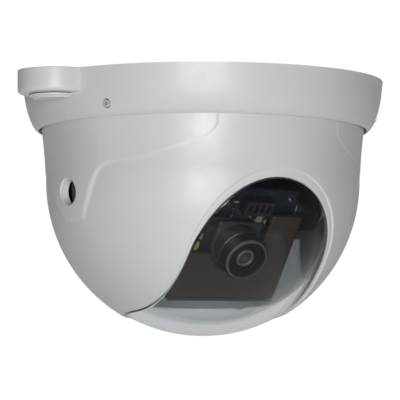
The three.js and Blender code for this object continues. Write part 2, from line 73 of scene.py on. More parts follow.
# Skirt ring, back plate and their screws
BORE_R = 53.6
LIP_R = 52.3
LIP_Z = -14.2
LUG_ANGLE = -86.0
LUG_OUT = 57.4
LUG_R = 11.8
LUG_END = -7.6
PLATE_R = 53.3
PLATE_T = 2.6
HUB_R = 9.0
HUB_END = -6.0
PLATE_SCREW_OUT = 48.6
PLATE_SCREW_ANGLES = (-5.0, 115.0, 235.0)
SET_SCREW_Z = -12.0
SET_SCREW_ANGLES = (-64.6, 55.4, 175.4)
CABLE_Y = 26.0
KEYHOLE_X = 35.0
KEY_ENTRY_Y = -4.0
KEY_ENTRY_R = 4.2
KEY_NECK_Y = 5.0
KEY_NECK_R = 2.4

# Camera module, in its own frame: X to the right, Z up its front, and -Y out of the lens
PIVOT_Z = DOME_Z - 6.4
REST_TILT = 38.0
HEAD_ROLL = -1.4
LENS_FRONT = -33.9
MASK_FRONT = -26.9
BOARD_FRONT = -22.5
BOARD_T = 1.6
SUPPLY_FRONT = -13.3
SCREW_SEAT = -8.6
STUD = 15.8  # studs and screws stand this far from the middle, both ways
MASK_HALF = 19.5
MASK_STRIP_TOP = -2.6
MASK_COLUMN_LEFT = 9.0
MASK_COLUMN_TOP = 12.0
MASK_CORNER = 1.2
TRUNNION_OUT = 35.5


# ------------------------------------------------------------------ shapes: (points in mm, faces)
def lathe(outline, steps=160):
    """A (radius, height) outline turned about Z, which closes on itself unless it runs from axis to axis."""
    points, rings = [], []
    for r, z in outline:
        if r < 1e-6:
            rings.append([len(points)])
            points.append((0.0, 0.0, z))
            continue
        rings.append(list(range(len(points), len(points) + steps)))
        for k in range(steps):
            a = 2 * math.pi * k / steps
            points.append((r * math.cos(a), r * math.sin(a), z))
    pairs = list(zip(rings, rings[1:]))
    if len(rings[0]) > 1 and len(rings[-1]) > 1:
        pairs.append((rings[-1], rings[0]))
    faces = []
    for low, high in pairs:
        for k in range(steps):
            j = (k + 1) % steps
            face = [low[k % len(low)], low[j % len(low)], high[j % len(high)], high[k % len(high)]]
            face = list(dict.fromkeys(face))
            if len(face) > 2:
                faces.append(face)
    return np.array(points, float), faces


def rounded(outline, radius, steps=3):
    """The outline with its corners rounded. Ends on the axis stay."""
    result = []
    count = len(outline)
    on_axis = outline[0][0] < 1e-6 and outline[-1][0] < 1e-6
    for i, corner in enumerate(outline):
        if on_axis and i in (0, count - 1):
            result.append(tuple(corner))
            continue
        here = np.array(corner, float)
        back = np.array(outline[i - 1], float) - here
        ahead = np.array(outline[(i + 1) % count], float) - here
        len_back, len_ahead = np.linalg.norm(back), np.linalg.norm(ahead)
        if back @ ahead / (len_back * len_ahead) < -0.97:
            result.append(tuple(corner))
            continue
        reach = min(radius, 0.45 * len_back, 0.45 * len_ahead)
        start, end = here + back / len_back * reach, here + ahead / len_ahead * reach
        for k in range(steps + 1):
            t = k / steps
            result.append(tuple((1 - t) ** 2 * start + 2 * t * (1 - t) * here + t * t * end))
    return result


def circle(radius, centre=(0, 0), start=0.0, end=360.0, steps=48):
    """Points of an arc, in degrees. A full circle leaves its last point out."""
    count = steps if abs(end - start) >= 360 else steps + 1
    angles = [math.radians(start + (end - start) * k / steps) for k in range(count)]
    return [(centre[0] + radius * math.cos(a), centre[1] + radius * math.sin(a)) for a in angles]


def rounded_rect(left, right, bottom, top, radius, steps=8):
    return (
        circle(radius, (right - radius, bottom + radius), -90, 0, steps)
        + circle(radius, (right - radius, top - radius), 0, 90, steps)
        + circle(radius, (left + radius, top - radius), 90, 180, steps)
        + circle(radius, (left + radius, bottom + radius), 180, 270, steps)
    )


def prism(outline, low, high):
    """A flat (x, y) outline pushed from one height to another."""
    count = len(outline)
    points = [(x, y, low) for x, y in outline] + [(x, y, high) for x, y in outline]
    faces = [list(range(count))[::-1], list(range(count, 2 * count))]
    for k in range(count):
        j = (k + 1) % count
        faces.append([k, j, count + j, count + k])
    return np.array(points, float), faces


def box(low, high):
    corners = [(low[0], low[1]), (high[0], low[1]), (high[0], high[1]), (low[0], high[1])]
    return prism(corners, low[2], high[2])


def bevelled(shape, width, segments=2):
    """The shape with its sharp edges bevelled."""
    points, faces = shape
    bm = bmesh.new()
    made = [bm.verts.new(p) for p in points]
    for face in faces:
        bm.faces.new([made[i] for i in face])
    bmesh.ops.recalc_face_normals(bm, faces=bm.faces)
    sharp = math.radians(25)
    edges = [e for e in bm.edges if len(e.link_faces) == 2 and e.calc_face_angle(0) > sharp]
    bmesh.ops.bevel(
        bm,
        geom=edges,
        offset=width,
        offset_type="OFFSET",
        segments=segments,
        profile=0.5,
        affect="EDGES",
        clamp_overlap=True,
    )
    bm.verts.index_update()
    result = np.array([v.co for v in bm.verts], float), [[v.index for v in f.verts] for f in bm.faces]
    bm.free()
    return result


def moved(shape, matrix):
    points, faces = shape
    m = np.array(matrix)
    return points @ m[:3, :3].T + m[:3, 3], faces


def merged(shapes):
    """Several shapes as one."""
    points, faces, base = [], [], 0
    for more_points, more_faces in shapes:
        points.append(more_points)
        faces += [[i + base for i in face] for face in more_faces]
        base += len(more_points)
    return np.concatenate(points), faces


def shift(x, y, z):
    return Matrix.Translation((x, y, z))


def turn(axis, degrees):
    return Matrix.Rotation(math.radians(degrees), 4, axis)


def upright(outline, front, back):
    """A plate whose outline is drawn in X and Z, standing between two depths along Y."""
    return moved(prism(outline, -back, -front), turn("X", 90))


ALONG_Y = turn("X", -90)
TILTED = shift(0, 0, PIVOT_Z) @ turn("X", REST_TILT)
HEAD = TILTED @ turn("Y", HEAD_ROLL)
LENS_AXIS = HEAD @ ALONG_Y


# ------------------------------------------------------------------ objects
def make_object(name, shape, sharp=32):
    """A smooth-shaded mesh object whose edges above an angle in degrees stay sharp."""
    points, faces = shape
    mesh = bpy.data.meshes.new(name)
    mesh.from_pydata([tuple(p) for p in np.asarray(points) * MM], [], faces)
    mesh.update()
    bm = bmesh.new()
    bm.from_mesh(mesh)
    bmesh.ops.recalc_face_normals(bm, faces=bm.faces)
    bm.to_mesh(mesh)
    bm.free()
    smooth(mesh, sharp)
    made = bpy.data.objects.new(name, mesh)
    bpy.context.scene.collection.objects.link(made)
    return made


def smooth(mesh, sharp):
    mesh.polygons.foreach_set("use_smooth", [True] * len(mesh.polygons))
    mesh.set_sharp_from_angle(angle=math.radians(sharp))
    mesh.update()


def combine(target, shapes, operation="DIFFERENCE", sharp=32):
    """Cuts closed shapes out of an object, or joins them to it."""
    for shape in shapes:
        tool = make_object("tool", shape)
        modifier = target.modifiers.new("combine", "BOOLEAN")
        modifier.solver = "EXACT"
        modifier.operation = operation
        modifier.object = tool
        graph = bpy.context.evaluated_depsgraph_get()
        mesh = bpy.data.meshes.new_from_object(target.evaluated_get(graph))
        target.modifiers.clear()
        old = target.data
        target.data = mesh
        bpy.data.meshes.remove(old)
        used = tool.data
        bpy.data.objects.remove(tool)
        bpy.data.meshes.remove(used)
    smooth(target.data, sharp)


def relocate(made, matrix):
    """Moves an object's mesh by a matrix in millimetres."""
    for vertex in made.data.vertices:
        vertex.co = matrix.to_3x3() @ vertex.co + matrix.translation * MM


def piece(made, material, body, nodes):
    """Gives an object its finish, hangs it on its body and hides the CAD nodes it stands for."""
    made.data.materials.clear()
    made.data.materials.append(material)
    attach(made, body)
    if nodes:
        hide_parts(*nodes)


def second_material(made, material, is_there):
    """Gives a further finish to the faces whose centre, in millimetres, passes a test."""
    made.data.materials.append(material)
    for face in made.data.polygons:
        if is_there(face.center / MM):
            face.material_index = 1


# ------------------------------------------------------------------ materials
class Nodes:
    """Short hand for one material's node tree."""

    def __init__(self, name):
        self.material = bpy.data.materials.new(name)
        self.material.use_nodes = True
        self.tree = self.material.node_tree
        self.shader = self.tree.nodes["Principled BSDF"]
        self.output = self.tree.nodes["Material Output"]
        self.place = self.tree.nodes.new("ShaderNodeTexCoord").outputs["Object"]

    def link(self, a, b):
        self.tree.links.new(a, b)

    def give(self, **values):
        """Sets inputs of the shader. An underscore stands for a space in the input's name."""
        for key, value in values.items():
            self.shader.inputs[key.replace("_", " ")].default_value = value

    def noise(self, scale, detail, roughness):
        node = self.tree.nodes.new("ShaderNodeTexNoise")
        node.inputs["Scale"].default_value = scale
        node.inputs["Detail"].default_value = detail
        node.inputs["Roughness"].default_value = roughness
        self.link(self.place, node.inputs["Vector"])
        return node.outputs["Fac"]

    def ramp(self, source, stops):
        node = self.tree.nodes.new("ShaderNodeValToRGB")
        for element, (where, color) in zip(node.color_ramp.elements, stops):
            element.position = where
            element.color = (*color, 1)
        self.link(source, node.inputs["Fac"])
        return node.outputs["Color"]

    def spread(self, source, low, high):
        """The middle of a noise stretched over a range of values."""
        node = self.tree.nodes.new("ShaderNodeMapRange")
        node.inputs["From Min"].default_value = 0.3
        node.inputs["From Max"].default_value = 0.7
        node.inputs["To Min"].default_value = low
        node.inputs["To Max"].default_value = high
        self.link(source, node.inputs["Value"])
        return node.outputs["Result"]

    def bump(self, sources):
        """Bumps laid over each other: (height, strength, distance in metres)."""
        last = None
        for height, strength, distance in sources:
            node = self.tree.nodes.new("ShaderNodeBump")
            node.inputs["Strength"].default_value = strength
            node.inputs["Distance"].default_value = distance
            self.link(height, node.inputs["Height"])
            if last:
                self.link(last, node.inputs["Normal"])
            last = node.outputs["Normal"]
        self.link(last, self.shader.inputs["Normal"])


def plastic(name, dark, light, rough, grain=0.06, coat=0.0):
    """Moulded or painted surface: slight clouding, orange peel, fine grain and an uneven sheen."""
    n = Nodes(name)
    cloud = n.noise(34.0, 5.0, 0.6)
    n.link(n.ramp(cloud, [(0.3, dark), (0.7, light)]), n.shader.inputs["Base Color"])
    smear = n.noise(120.0, 4.0, 0.65)
    n.link(n.spread(smear, rough - 0.05, rough + 0.06), n.shader.inputs["Roughness"])
    peel = n.noise(420.0, 2.0, 0.5)
    fine = n.noise(1800.0, 3.0, 0.6)
    n.bump([(peel, 0.05, 0.0002), (fine, grain, 0.0001)])
    if coat:
        n.give(Coat_Weight=coat, Coat_Roughness=0.12)
    return n.material


def metal(name, dark, light, rough):
    """Bare or blackened metal with a mottled tone and fine scratches."""
    n = Nodes(name)
    tone = n.noise(300.0, 4.0, 0.6)
    n.link(n.ramp(tone, [(0.3, dark), (0.7, light)]), n.shader.inputs["Base Color"])
    scratches = n.noise(1500.0, 4.0, 0.7)
    n.link(n.spread(scratches, rough - 0.08, rough + 0.1), n.shader.inputs["Roughness"])
    n.bump([(scratches, 0.05, 0.0001)])
    n.give(Metallic=1.0)
    return n.material


def clear(name, tint, shade):
    """See-through plastic that lets light pass to what is behind it, tinted by its shade."""
    n = Nodes(name)
    n.give(Base_Color=(*tint, 1), Roughness=0.015, IOR=1.45, Transmission_Weight=1.0)
    ripple = n.noise(60.0, 2.0, 0.5)
    n.bump([(ripple, 0.02, 0.0004)])
    path = n.tree.nodes.new("ShaderNodeLightPath")
    either = n.tree.nodes.new("ShaderNodeMath")
    either.operation = "MAXIMUM"
    n.link(path.outputs["Is Shadow Ray"], either.inputs[0])
    n.link(path.outputs["Is Diffuse Ray"], either.inputs[1])
    through = n.tree.nodes.new("ShaderNodeBsdfTransparent")
    through.inputs["Color"].default_value = (*shade, 1)
    mix = n.tree.nodes.new("ShaderNodeMixShader")
    n.link(either.outputs[0], mix.inputs["Fac"])
    n.link(n.shader.outputs[0], mix.inputs[1])
    n.link(through.outputs[0], mix.inputs[2])
    n.link(mix.outputs[0], n.output.inputs["Surface"])
    return n.material


def circuit(name):
    """Dark solder mask with a fine net of tracks under it."""
    n = Nodes(name)
    net = n.tree.nodes.new("ShaderNodeTexVoronoi")
    net.feature = "DISTANCE_TO_EDGE"
    net.inputs["Scale"].default_value = 420.0
    n.link(n.place, net.inputs["Vector"])
    tracks = n.ramp(net.outputs["Distance"], [(0.03, (0.013, 0.019, 0.025)), (0.08, (0.007, 0.010, 0.015))])
    n.link(tracks, n.shader.inputs["Base Color"])
    smear = n.noise(250.0, 4.0, 0.6)
    n.link(n.spread(smear, 0.48, 0.62), n.shader.inputs["Roughness"])
    n.give(Specular_IOR_Level=0.25)
    n.bump([(net.outputs["Distance"], 0.12, 0.0001)])
    return n.material


WHITE = plastic("housing_white", (0.60, 0.61, 0.605), (0.64, 0.645, 0.64), 0.36)
# Painted light: the cover's inside is a lighter white than its outside, standing in for light its interior
# does not get.
PAINTED_LIGHT_INNER_WHITE = plastic("cover_inside_painted_light", (0.83, 0.84, 0.84), (0.87, 0.88, 0.88), 0.55)
CLEAR = clear("bubble_clear", (0.89, 0.93, 0.95), (0.96, 0.97, 0.975))
LINER = plastic("liner_grey", (0.105, 0.111, 0.118), (0.13, 0.137, 0.144), 0.6)
BLACK = plastic("bracket_black", (0.020, 0.020, 0.023), (0.028, 0.028, 0.032), 0.42, 0.12)
MASK = plastic("mask_brown_black", (0.018, 0.013, 0.009), (0.025, 0.018, 0.013), 0.55, 0.14)
BOARD = circuit("board_dark")
CHIP = plastic("chip_black", (0.012, 0.013, 0.016), (0.02, 0.02, 0.024), 0.35)
CERAMIC = plastic("capacitor_tan", (0.20, 0.14, 0.09), (0.26, 0.19, 0.12), 0.4)
TIN = metal("solder_tin", (0.50, 0.51, 0.53), (0.66, 0.67, 0.69), 0.28)
STEEL = metal("screw_steel", (0.52, 0.52, 0.53), (0.66, 0.66, 0.67), 0.30)
# Zinc plating, made a light non-metallic grey that also serves as a painted highlight on the grub screws.
ZINC_AND_HIGHLIGHT_GREY = plastic("zinc_plate_and_painted_highlight", (0.46, 0.46, 0.45), (0.54, 0.54, 0.54), 0.4)
DARK_BRASS = metal("blackened_brass", (0.035, 0.032, 0.028), (0.06, 0.054, 0.048), 0.42)
BRASS = metal("brass", (0.66, 0.46, 0.20), (0.82, 0.62, 0.31), 0.48)
RUBBER = plastic("grommet_rubber", (0.018, 0.018, 0.02), (0.03, 0.03, 0.032), 0.75, 0.2)
NYLON = plastic("connector_nylon", (0.009, 0.009, 0.011), (0.014, 0.014, 0.017), 0.45)
ANODISED = metal("lens_black", (0.014, 0.013, 0.013), (0.024, 0.022, 0.021), 0.36)
# Painted highlight: a lighter grey for the lens's lit bevels, on the lock ring and a band of the barrel's
# front rim.
RIM_HIGHLIGHT_GREY = plastic("lens_rim_painted_highlight", (0.075, 0.068, 0.064), (0.10, 0.092, 0.088), 0.32, 0.05)
COATED = plastic("lens_glass", (0.010, 0.012, 0.018), (0.014, 0.017, 0.025), 0.09, 0.0, coat=1.0)
RIBBON = plastic("flat_cable", (0.13, 0.125, 0.11), (0.17, 0.165, 0.15), 0.35)


# ------------------------------------------------------------------ skirt ring and its side entry
def build_skirt():
    outside = [(57.45, 0.0), (57.3, -1.1), (57.1, -3.0), (56.9, -5.0), (56.6, -6.8), (56.2, -8.6)]
    outside += [(55.7, -10.4), (55.05, -12.2), (54.3, -13.8), (53.6, -14.8), (52.9, -15.45), (52.45, -15.7)]
    inside = [(LIP_R, -15.55), (LIP_R, LIP_Z), (BORE_R, LIP_Z), (BORE_R, -0.3), (BORE_R + 0.3, 0.0)]
    ring = make_object("skirt", lathe(outside + inside, 256))
    lug = rounded([(0, -0.01), (LUG_R, -0.01), (LUG_R, LUG_END), (0, LUG_END)], 1.5, 5)
    lug[1:6] = [(LUG_R - 0.15, -0.01), (LUG_R, -0.2)]  # the edge at the ceiling stays almost sharp
    boss = moved(lathe(lug, 96), turn("Z", LUG_ANGLE) @ shift(0, -LUG_OUT, 0))
    combine(ring, [boss], "UNION")
    hollow = [(0, -30), (LIP_R, -30), (LIP_R, LIP_Z), (BORE_R, LIP_Z), (BORE_R, 2), (0, 2)]
    cutters = [lathe(hollow, 256)]
    for angle in SET_SCREW_ANGLES:
        hole = lathe([(0, 50), (1.45, 50), (1.45, 54.9), (1.75, 56.2), (1.75, 60), (0, 60)], 32)
        cutters.append(moved(hole, turn("Z", angle) @ shift(0, 0, SET_SCREW_Z) @ turn("X", 90)))
    combine(ring, cutters)
    piece(ring, WHITE, "base", ["skirt_ring"])


def build_plug():
    """The stepped disc under the boss, hollowed to lie against the skirt."""
    outline = [(0, -7.9), (8.2, -7.9), (8.2, -8.5), (7.2, -8.7), (7.0, -9.2), (0, -9.2)]
    disc = moved(lathe(rounded(outline, 0.2), 72), shift(0, -LUG_OUT, 0))
    cap = make_object("side_entry_plug", disc)
    combine(cap, [lathe([(0, -20), (57.05, -20), (57.05, 0), (0, 0)], 256)])
    relocate(cap, turn("Z", LUG_ANGLE))
    piece(cap, WHITE, "base", ["entry_plug"])


# ------------------------------------------------------------------ dome, window and bubble
# A point of the wall is given flat: its distance along the wall from the bottom, and its direction there.
CENTRE = np.array([0.0, -25.0])  # a point inside the window
QUARTER = DOME_R * math.pi / 2
TOP = QUARTER + WALL_RISE


def on_dome(p, depth):
    """Points in space of flat points, some depth under the dome's outside."""
    s = np.hypot(p[..., 0], p[..., 1])
    ux, uy = p[..., 0] / np.maximum(s, 1e-9), p[..., 1] / np.maximum(s, 1e-9)
    a = np.minimum(s, QUARTER) / DOME_R
    climb = np.maximum(s - QUARTER, 0)
    r = (DOME_R - depth) * np.sin(a) + (climb / FLARE) ** FLARE_POWER
    z = DOME_Z - (DOME_R - depth) * np.cos(a) + climb
    return np.stack([ux * r, uy * r, z], -1)


def window_margin(q, rise=0.0):
    """How far points lie outside the opening, seen along the window. A rise lifts the arch."""
    x, y, z = q[..., 0], q[..., 1], q[..., 2]
    arch = np.hypot(x, z - ARCH_Z - rise) - OPEN_HALF
    side = np.abs(x) - OPEN_HALF
    hole = np.hypot(x, y) - OPEN_HALF
    return np.where(y < 0, np.where(z > ARCH_Z + rise, arch, side), hole)


def rays(count):
    """Directions all round, from the centre of the flat wall."""
    a = 2 * np.pi * np.arange(count) / count
    return np.stack([np.sin(a), -np.cos(a)], -1)


def wall_ring(dirs, reach, depth):
    """A ring of points at a distance along each ray, at a depth."""
    return on_dome(CENTRE + dirs * reach[:, None], depth)


def reach_margin(dirs, margin, depth, rise=0.0):
    """Distance along each ray to where the wall is that far outside the opening."""
    low, high = np.zeros(len(dirs)), np.full(len(dirs), 110.0)
    for _ in range(46):
        middle = (low + high) / 2
        outside = window_margin(wall_ring(dirs, middle, depth), rise) > margin
        high = np.where(outside, middle, high)
        low = np.where(outside, low, middle)
    return (low + high) / 2


def reach_top(dirs):
    """Distance along each ray to the wall's upper end."""
    b = dirs @ CENTRE
    return -b + np.sqrt(b * b - CENTRE @ CENTRE + TOP * TOP)


def margin_ring(dirs, margin, depth, rise=0.0):
    return wall_ring(dirs, reach_margin(dirs, margin, depth, rise), depth)


def rings_mesh(rings, closed_centre=False):
    """Faces between rings of points of the same length, each ring joined to the next."""
    count = len(rings[0])
    faces = []

    def band(a, b):
        faces.extend([a + i, a + (i + 1) % count, b + (i + 1) % count, b + i] for i in range(count))

    last = (len(rings) - 1) * count
    for first in range(0, last, count):
        band(first, first + count)
    if closed_centre:
        faces.append(list(range(count))[::-1])
        faces.append([last + i for i in range(count)])
    else:
        band(last, 0)
    return np.concatenate(rings), faces


def wing_line():
    """The raised side panel's edge: distance round the dome from the window, and height over its centre."""
    knots = [(25.5, 20), (25.8, 13.5), (28, 10.5), (33, 8.0), (44, 5.0), (55, 2.5)]
    knots += [(66, 1.7), (71.5, 0.2), (74.5, -3), (77.5, -7.5), (80, -11), (83.5, -15)]
    knots = np.array(knots, float)
    fine = []
    for i in range(1, len(knots) - 2):
        a, b, c, d = knots[i - 1 : i + 3]
        for t in np.linspace(0, 1, 8, endpoint=False):
            bend = (2 * a - 5 * b + 4 * c - d) * t**2 + (3 * b - a - 3 * c + d) * t**3
            fine.append(0.5 * (2 * b + (c - a) * t + bend))
    line = np.array([knots[0], *fine, knots[-2], knots[-1]])
    line[:, 0] *= math.pi / 180 * DOME_R
    return line


def wing_height(q):
    """How far the raised side panels stand out of the dome."""
    edge_width, low_end, fade_length = 0.9, -19.0, 8.0
    angle = np.abs(np.degrees(np.arctan2(q[..., 0], -q[..., 1])))
    angle = 90 - np.abs(90 - angle)
    where = np.stack([angle * math.pi / 180 * DOME_R, q[..., 2] - DOME_Z], -1)
    line = wing_line()
    near = np.full(where.shape[:-1], 1e9)
    for a, b in zip(line, line[1:]):
        along = b - a
        t = np.clip(((where - a) @ along) / (along @ along), 0, 1)
        near = np.minimum(near, np.linalg.norm(where - a - t[..., None] * along, axis=-1))
    order = np.argsort(line[:, 0])
    above = where[..., 1] > np.interp(where[..., 0], line[order, 0], line[order, 1])
    above &= where[..., 0] > line[0, 0]
    step = np.clip(np.where(above, near, -near) / edge_width + 0.5, 0, 1)
    fade = np.clip((where[..., 1] - low_end) / fade_length, 0, 1)
    height = np.interp(angle, [34, 62, 72], [0.12, 0.17, 0.60])
    return height * step * step * (3 - 2 * step) * fade


def side_cutters(radius, rebate, surface, steps=64):
    """Cutters for the holes on both sides, wider near a surface this far from the middle."""
    outline = [(0, 38), (radius, 38), (radius, surface - 0.9), (rebate, surface - 0.7)]
    outline += [(rebate, surface + 6), (0, surface + 6)]
    shape = lathe(outline, steps)
    return [moved(shape, shift(0, 0, PIVOT_Z) @ turn("Y", side)) for side in (90, -90)]


def build_cover():
    dirs = rays(720)
    top = reach_top(dirs)
    rounding = 0.5  # of the edge round the window
    edge = reach_margin(dirs, LEDGE + rounding, 0, LEDGE_RISE)
    rings = []
    for w in np.linspace(1, 0, 130) ** 1.15:
        reach = edge + (top - edge) * w
        panels = wing_height(wall_ring(dirs, reach, 0))
        rings.append(wall_ring(dirs, reach, -panels))
    for a in np.linspace(0.2, 1.57, 6):
        margin = LEDGE + rounding * (1 - math.sin(a))
        rings.append(margin_ring(dirs, margin, 0.3 * (1 - math.cos(a)), LEDGE_RISE))
    rings.append(margin_ring(dirs, LEDGE - 0.04, LEDGE_DEPTH - 0.08, LEDGE_RISE))
    rings.append(margin_ring(dirs, LEDGE - 0.12, LEDGE_DEPTH, LEDGE_RISE))
    lip = [(0.25, LEDGE_DEPTH), (0.1, LEDGE_DEPTH + 0.05), (0.0, LEDGE_DEPTH + 0.2), (0.0, 1.4)]
    lip += [(0.0, COVER_WALL - 0.15), (0.15, COVER_WALL)]
    rings += [margin_ring(dirs, margin, depth) for margin, depth in lip]
    edge = reach_margin(dirs, 0.6, COVER_WALL)
    rings += [wall_ring(dirs, edge + (top - edge) * w, COVER_WALL) for w in np.linspace(0, 1, 50)]
    cover = make_object("cover", rings_mesh(rings), 40)
    combine(cover, side_cutters(SIDE_HOLE_R, SIDE_REBATE_R, DOME_R + 0.4), sharp=40)
    piece(cover, WHITE, "cover", ["dome_cover"])

    def is_inside(at):
        return (at - Vector((0, 0, DOME_Z))).length < DOME_R - COVER_WALL + 0.25 and at.z < -16

    # The faces inside the cover get the lighter white as painted light.
    second_material(cover, PAINTED_LIGHT_INNER_WHITE, is_inside)


def build_bubble():
    dirs = rays(480)
    top = reach_top(dirs) - 0.5
    gap, rounding = 0.3, 0.45  # to the opening's edge, and of the bubble's own edge
    edge = reach_margin(dirs, -gap - rounding, PANE_DEPTH)
    rings = [wall_ring(dirs, edge * w, PANE_DEPTH) for w in np.linspace(0.02, 1, 60)]
    for a in np.linspace(0.3, 1.57, 5):
        margin = -gap - rounding + rounding * math.sin(a)
        rings.append(margin_ring(dirs, margin, PANE_DEPTH + rounding * (1 - math.cos(a))))
    edge = reach_margin(dirs, -gap, BUBBLE_DEPTH)
    rings += [wall_ring(dirs, edge + (top - edge) * w, BUBBLE_DEPTH) for w in np.linspace(0, 1, 40)]
    rings += [wall_ring(dirs, top * w, BUBBLE_IN_DEPTH) for w in np.linspace(1, 0.02, 80)]
    bubble = make_object("bubble", rings_mesh(rings, closed_centre=True), 50)
    combine(bubble, side_cutters(INNER_HOLE_R, INNER_HOLE_R, DOME_R - 2), sharp=50)
    piece(bubble, CLEAR, "cover", ["clear_bubble"])


def build_liner():
    """The grey half shell inside the bubble, open at the window and below except for its two tongues."""
    low_end = 1.25  # how far down the shell reaches, in radians below the dome's equator
    outer = [(LINER_R * math.cos(a), DOME_Z - LINER_R * math.sin(a)) for a in np.linspace(0, low_end, 40)]
    inside = LINER_R - LINER_WALL
    inner = [(inside * math.cos(a), DOME_Z - inside * math.sin(a)) for a in np.linspace(low_end, 0, 40)]
    rim = [(48.9, -10.5), (48.9, -12.1), (LINER_R, -12.1)]
    liner = make_object("liner", lathe([*rim, *outer, *inner, (inside, -10.5)], 256))
    slant = math.radians(TONGUE_SLANT)

    def half_at(y):
        return (TONGUE_REACH + math.sin(slant) * y) / math.cos(slant)

    gap = [(-half_at(-60), -60), (half_at(-60), -60), (half_at(60), 60), (-half_at(60), 60)]
    open_half = OPEN_HALF + LINER_GAP
    window = [*circle(open_half, (0, ARCH_Z), 0, 180, 60), (-open_half, -100), (open_half, -100)]
    holes = side_cutters(INNER_HOLE_R, INNER_HOLE_R, DOME_R + 4, 48)
    combine(liner, [prism(gap, -100, DOME_Z - 16), upright(window, -70, 0), *holes])
    piece(liner, LINER, "cover", ["inner_liner"])


# ------------------------------------------------------------------ back plate and its small parts
def build_back_plate():
    outline = [(0, 0), (PLATE_R, 0), (PLATE_R, -PLATE_T), (HUB_R, -PLATE_T), (HUB_R, HUB_END), (0, HUB_END)]
    plate = make_object("ceiling_plate", lathe(rounded(outline, 0.35), 192))
    below, above = -9, 1
    cutters = [lathe([(0, -2.4), (3.2, -2.4), (3.2, below), (0, below)], 40)]
    cable_hole = lathe([(0, below), (7, below), (7, -0.5), (7.5, above), (0, above)], 64)
    cutters.append(moved(cable_hole, shift(0, CABLE_Y, 0)))
    for x in (-KEYHOLE_X, KEYHOLE_X):
        keyhole = circle(KEY_ENTRY_R, (x, KEY_ENTRY_Y), 124.8, 415.2, 48)
        keyhole += circle(KEY_NECK_R, (x, KEY_NECK_Y), 0, 180, 20)
        cutters.append(prism(keyhole, below, above))
    for angle in PLATE_SCREW_ANGLES:
        sink = lathe([(0, below), (1.9, below), (1.9, -1.3), (3.4, -1.3), (3.4, above), (0, above)], 48)
        cutters.append(moved(sink, turn("Z", angle) @ shift(0, -PLATE_SCREW_OUT, 0)))
    cutters.append(lathe([(20.5, -0.45), (21.5, -0.45), (21.5, above), (20.5, above)], 128))
    combine(plate, cutters)
    piece(plate, WHITE, "base", ["back_plate"])


def screw_shape(radius, height, shank, length):
    """A threaded screw on Z, with the seat of its domed head at 0."""
    dome = [(radius * math.sin(a) * 0.93, height * (0.62 + 0.38 * math.cos(a))) for a in (0.4, 0.8, 1.2)]
    outline = [(0, height), *dome, (radius, height * 0.5), (radius, 0.15), (radius - 0.15, 0), (shank, 0)]
    pitch = 0.5
    z = -0.3
    while z > -length + 1:
        outline += [(shank, z), (shank * 0.82, z - pitch / 2)]
        z -= pitch
    outline += [(shank, -length + 0.5), (shank * 0.6, -length), (0, -length)]
    return lathe(outline, 48)


def build_screw(name, radius, height, shank, length, matrix, body, node):
    screw = make_object(name, screw_shape(radius, height, shank, length))
    arm, half, floor = radius * 0.52, radius * 0.11, height * 0.4
    above = height + 2
    slots = [box((-arm, -half, floor), (arm, half, above)), box((-half, -arm, floor), (half, arm, above))]
    combine(screw, slots)
    relocate(screw, matrix)
    piece(screw, STEEL, body, [node])


def build_fasteners():
    for i, angle in enumerate(PLATE_SCREW_ANGLES, 1):
        where = turn("Z", angle) @ shift(0, -PLATE_SCREW_OUT, -1.0)
        build_screw(f"skirt_screw_{i}", 3.0, 0.9, 1.2, 7.6, where, "base", f"plate_screw_{i}")
    for i, angle in enumerate(SET_SCREW_ANGLES, 1):
        outline = [(0, 53.2), (1.0, 53.2), (1.2, 53.4), (1.2, 55.2), (1.05, 55.4), (0, 55.4)]
        grub = make_object(f"grub_screw_{i}", moved(lathe(outline, 32), turn("X", 90)))
        combine(grub, [moved(prism(circle(0.65, steps=6), 54.2, 57), turn("X", 90))])
        relocate(grub, shift(0, 0, SET_SCREW_Z) @ turn("Z", angle))
        piece(grub, ZINC_AND_HIGHLIGHT_GREY, "base", [f"set_screw_{i}"])


def build_grommet():
    outline = rounded([(4.4, -4.6), (8.6, -4.6), (8.6, -2.9), (6.7, -2.9), (6.7, -0.3), (4.4, -0.3)], 0.5)
    grommet = make_object("cable_gland", moved(lathe(outline, 72), shift(0, CABLE_Y, 0)))
    piece(grommet, RUBBER, "base", ["cable_grommet"])


# ------------------------------------------------------------------ camera module
def mask_outline():
    """An L: a strip right across, and a column up its right side."""
    side, top = MASK_HALF - MASK_CORNER, MASK_COLUMN_TOP - MASK_CORNER
    outline = circle(MASK_CORNER, (side, -side), -90, 0, 8)
    outline += circle(MASK_CORNER, (side, top), 0, 90, 8)
    outline += circle(MASK_CORNER, (MASK_COLUMN_LEFT + MASK_CORNER, top), 90, 180, 8)
    outline.append((MASK_COLUMN_LEFT, MASK_STRIP_TOP))
    outline += circle(MASK_CORNER, (-side, MASK_STRIP_TOP - MASK_CORNER), 90, 180, 8)
    return outline + circle(MASK_CORNER, (-side, -side), 180, 270, 8)


